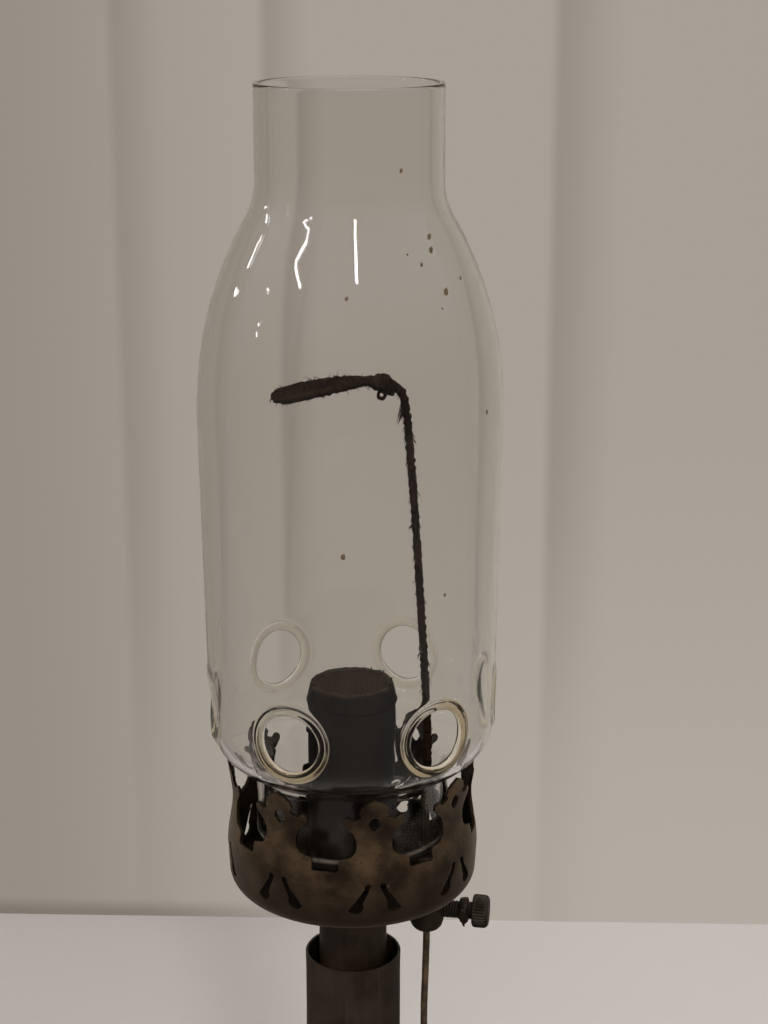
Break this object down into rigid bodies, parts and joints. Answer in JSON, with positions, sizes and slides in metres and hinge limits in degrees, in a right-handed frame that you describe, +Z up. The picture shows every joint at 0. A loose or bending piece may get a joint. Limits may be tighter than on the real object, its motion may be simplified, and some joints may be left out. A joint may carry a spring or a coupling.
{
  "type": "gas lamp",
  "caption": "Upright gas lamp with an air-hole glass chimney over a gauze burner in a pierced gallery, a side rod that holds the mantle, a cock, a column and a round foot.",
  "frame": {"origin": "centre of the pad's underside, where the lamp stands on the table", "axes": "+Z up along the lamp's axis; -Y is the front, and the hose nozzle points to +Y"},
  "size_m": [0.13, 0.13, 0.4498],
  "materials": {
    "felt": "felt pad",
    "cast_foot": "cast iron with worn black lacquer",
    "old_brass": "brass under dark brown tarnish and soot",
    "dark_steel": "sheet steel, heat-blackened",
    "gauze": "woven wire gauze, oxidised",
    "rod_steel": "drawn wire with brown rust",
    "sooty_cord": "wire wrapped in sooty mineral cord",
    "fibre": "pressed fibre washer",
    "glass": "clear lead glass, faintly smoked"
  },
  "bodies": {
    "stand": {"foot_pad": "felt", "foot": "cast_foot", "foot_washer": "old_brass", "foot_nut": "old_brass", "column": "old_brass", "nozzle_washer": "fibre", "hose_nozzle": "old_brass", "cock_body": "old_brass", "stop_pin": "dark_steel", "injector_base": "old_brass", "injector": "old_brass", "mixing_tube": "dark_steel", "draught_sleeve": "dark_steel", "gallery": "old_brass", "gallery_nut": "old_brass", "burner_head": "dark_steel", "inner_gauze": "gauze", "gauze_cap": "dark_steel", "gauze_disc": "gauze", "rod_boss": "dark_steel", "boss_nut": "dark_steel"},
    "tap": {"cock_plug": "old_brass", "cock_lever": "old_brass", "cock_washer": "dark_steel", "cock_screw": "dark_steel"},
    "shutter": {"air_shutter": "old_brass"},
    "screw": {"thumbscrew": "old_brass"},
    "screw_lock": {"lock_nut": "dark_steel"},
    "rod": {"support_rod": "rod_steel"},
    "fork": {"rod_ferrule": "dark_steel", "mantle_fork": "sooty_cord"},
    "glass": {"chimney": "glass"}
  },
  "joints": [
    {"name": "chimney_lift", "type": "slide", "parent": "stand", "child": "glass", "axis": [0, 0, 1], "range_m": [0, 0.19]},
    {"name": "tap_turn", "type": "hinge", "parent": "stand", "child": "tap", "pos_m": [0, 0, 0.12], "axis": [1, 0, 0], "range_deg": [0, 90]},
    {"name": "shutter_turn", "type": "hinge", "parent": "stand", "child": "shutter", "pos_m": [0, 0, 0.154], "axis": [0, 0, 1], "range_deg": [0, 45]},
    {"name": "thumbscrew_turn", "type": "hinge", "parent": "stand", "child": "screw", "pos_m": [0.02076, 0.00595, 0.2219], "axis": [0.9848, -0.1736, 0], "range_deg": [0, 360]},
    {"name": "lock_nut_turn", "type": "hinge", "parent": "stand", "child": "screw_lock", "pos_m": [0.02076, 0.00595, 0.2219], "axis": [0.9848, -0.1736, 0], "range_deg": [0, 180]},
    {"name": "rod_slide", "type": "slide", "parent": "stand", "child": "rod", "axis": [0, 0, 1], "range_m": [-0.012, 0.025]},
    {"name": "fork_swivel", "type": "hinge", "parent": "rod", "child": "fork", "pos_m": [0.02076, 0.00595, 0.258], "axis": [0, 0, 1], "range_deg": [-30, 30]}
  ]
}
